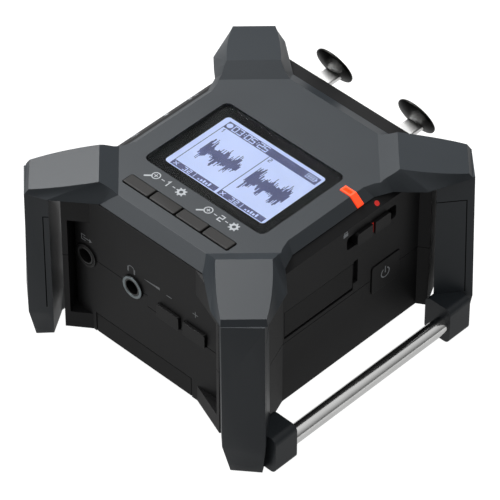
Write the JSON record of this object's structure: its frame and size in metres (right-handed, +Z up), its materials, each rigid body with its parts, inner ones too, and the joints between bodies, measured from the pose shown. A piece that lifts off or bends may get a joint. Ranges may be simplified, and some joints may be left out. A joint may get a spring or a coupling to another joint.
{
  "type": "portable field recorder",
  "caption": "Palm-sized field recorder: flat square body slung between four outward legs, lit display and keys on top, two latching inputs behind, strap bars at the sides.",
  "frame": {"origin": "On the floor, in the middle of the overall outline.", "axes": "+X to the right along the front face, +Y to the back where the inputs are, +Z up."},
  "size_m": [0.0754, 0.0804, 0.0478],
  "materials": {
    "cover_plastic": "fine satin texture",
    "housing_plastic": "fine matt texture",
    "key_rubber": "smooth moulded rubber",
    "button_plastic": "fine matt texture",
    "foot_rubber": "matt",
    "bar_chrome": "polished plating",
    "disc_chrome": "polished dark plating",
    "window_plastic": "clear hard coat over black border print",
    "lcd_glass": "lit display",
    "light_plate": "white light guide",
    "board_green": "solder mask",
    "light_pipe": "lit amber moulding",
    "slider_red": "matt with red centre line",
    "socket_steel": "stamped and plated",
    "socket_black": "glass-filled moulding",
    "shell_nickel": "satin nickel plating",
    "contact_brass": "gold flash over brass",
    "cell_wrap": "shrink sleeve",
    "screw_steel": "blackened steel",
    "ring_steel": "polished ring",
    "panel_black": "fine matt texture"
  },
  "bodies": {
    "case": {"top_cover": "cover_plastic", "foot_pads": "foot_rubber", "strap_bar_left": "bar_chrome", "strap_bar_right": "bar_chrome", "upper_housing": "housing_plastic", "lower_case": "housing_plastic", "case_screws": "screw_steel", "tripod_insert": "contact_brass", "display_window": "window_plastic", "display_glass": "lcd_glass", "display_backlight": "light_plate", "key_mat": "foot_rubber", "key_board": "board_green", "record_light": "light_pipe", "card_socket": "socket_steel", "side_switches": "socket_black", "data_socket": "socket_steel", "remote_socket": "socket_black", "port_board": "board_green", "line_out_jack": "socket_black", "phones_jack": "ring_steel", "input_panel": "panel_black", "xlr_shell_left": "shell_nickel", "xlr_shell_right": "shell_nickel", "xlr_insert_left": "socket_black", "xlr_insert_right": "socket_black", "xlr_contacts_left": "contact_brass", "xlr_contacts_right": "contact_brass", "battery_1": "cell_wrap", "battery_2": "cell_wrap", "battery_contacts": "socket_steel", "main_board": "board_green", "input_board": "board_green", "board_switches": "socket_black"},
    "battery_door": {"battery_door": "panel_black"},
    "card_cover": {"card_cover": "panel_black"},
    "hold_slider": {"hold_slider": "slider_red"},
    "key_1": {"key_1": "key_rubber"},
    "key_2": {"key_2": "key_rubber"},
    "key_3": {"key_3": "key_rubber"},
    "key_4": {"key_4": "key_rubber"},
    "latch_button_left": {"latch_button_left": "disc_chrome"},
    "latch_button_right": {"latch_button_right": "disc_chrome"},
    "latch_hook_left": {"latch_hook_left": "socket_steel"},
    "latch_hook_right": {"latch_hook_right": "socket_steel"},
    "menu_button": {"menu_button": "button_plastic"},
    "play_button": {"play_button": "button_plastic"},
    "power_button": {"power_button": "button_plastic"},
    "remote_cover": {"remote_cover": "foot_rubber"},
    "stop_button": {"stop_button": "button_plastic"},
    "volume_down_button": {"volume_down_button": "button_plastic"},
    "volume_up_button": {"volume_up_button": "button_plastic"}
  },
  "joints": [
    {"name": "key_1_press", "type": "slide", "parent": "case", "child": "key_1", "axis": [0, 0, -1], "range_m": [0, 0.0005], "stiffness_N_per_m": 900, "springref_m": -0.0002},
    {"name": "key_2_press", "type": "slide", "parent": "case", "child": "key_2", "axis": [0, 0, -1], "range_m": [0, 0.0005], "stiffness_N_per_m": 900, "springref_m": -0.0002},
    {"name": "key_3_press", "type": "slide", "parent": "case", "child": "key_3", "axis": [0, 0, -1], "range_m": [0, 0.0005], "stiffness_N_per_m": 900, "springref_m": -0.0002},
    {"name": "key_4_press", "type": "slide", "parent": "case", "child": "key_4", "axis": [0, 0, -1], "range_m": [0, 0.0005], "stiffness_N_per_m": 900, "springref_m": -0.0002},
    {"name": "power_button_press", "type": "slide", "parent": "case", "child": "power_button", "axis": [-1, 0, 0], "range_m": [0, 0.0005], "stiffness_N_per_m": 900, "springref_m": -0.0002},
    {"name": "menu_button_press", "type": "slide", "parent": "case", "child": "menu_button", "axis": [1, 0, 0], "range_m": [0, 0.0005], "stiffness_N_per_m": 900, "springref_m": -0.0002},
    {"name": "stop_button_press", "type": "slide", "parent": "case", "child": "stop_button", "axis": [1, 0, 0], "range_m": [0, 0.0005], "stiffness_N_per_m": 900, "springref_m": -0.0002},
    {"name": "play_button_press", "type": "slide", "parent": "case", "child": "play_button", "axis": [1, 0, 0], "range_m": [0, 0.0005], "stiffness_N_per_m": 900, "springref_m": -0.0002},
    {"name": "volume_down_button_press", "type": "slide", "parent": "case", "child": "volume_down_button", "axis": [0, 1, 0], "range_m": [0, 0.0004], "stiffness_N_per_m": 900, "springref_m": -0.0002},
    {"name": "volume_up_button_press", "type": "slide", "parent": "case", "child": "volume_up_button", "axis": [0, 1, 0], "range_m": [0, 0.0004], "stiffness_N_per_m": 900, "springref_m": -0.0002},
    {"name": "hold_slider_slide", "type": "slide", "parent": "case", "child": "hold_slider", "axis": [0, 1, 0], "range_m": [-0.0023, 0.0023]},
    {"name": "remote_cover_slide", "type": "slide", "parent": "case", "child": "remote_cover", "axis": [-1, 0, 0], "range_m": [0, 0.014]},
    {"name": "battery_door_slide", "type": "slide", "parent": "case", "child": "battery_door", "axis": [0, -1, 0], "range_m": [0, 0.056]},
    {"name": "card_cover_hinge", "type": "hinge", "parent": "case", "child": "card_cover", "pos_m": [0.02575, -0.00765, 0.02415], "axis": [0, 1, 0], "range_deg": [0, 95]},
    {"name": "latch_button_left_press", "type": "slide", "parent": "case", "child": "latch_button_left", "axis": [0, -1, 0], "range_m": [0, 0.0016], "stiffness_N_per_m": 1500, "springref_m": -0.0008},
    {"name": "latch_hook_left_lift", "type": "slide", "parent": "case", "child": "latch_hook_left", "axis": [0, 0, 1], "range_m": [0, 0.00082]},
    {"name": "latch_button_right_press", "type": "slide", "parent": "case", "child": "latch_button_right", "axis": [0, -1, 0], "range_m": [0, 0.0016], "stiffness_N_per_m": 1500, "springref_m": -0.0008},
    {"name": "latch_hook_right_lift", "type": "slide", "parent": "case", "child": "latch_hook_right", "axis": [0, 0, 1], "range_m": [0, 0.00082]}
  ],
  "couplings": [
    {"joint": "latch_hook_left_lift", "follows": "latch_button_left_press", "ratio": 0.5},
    {"joint": "latch_hook_right_lift", "follows": "latch_button_right_press", "ratio": 0.5}
  ]
}
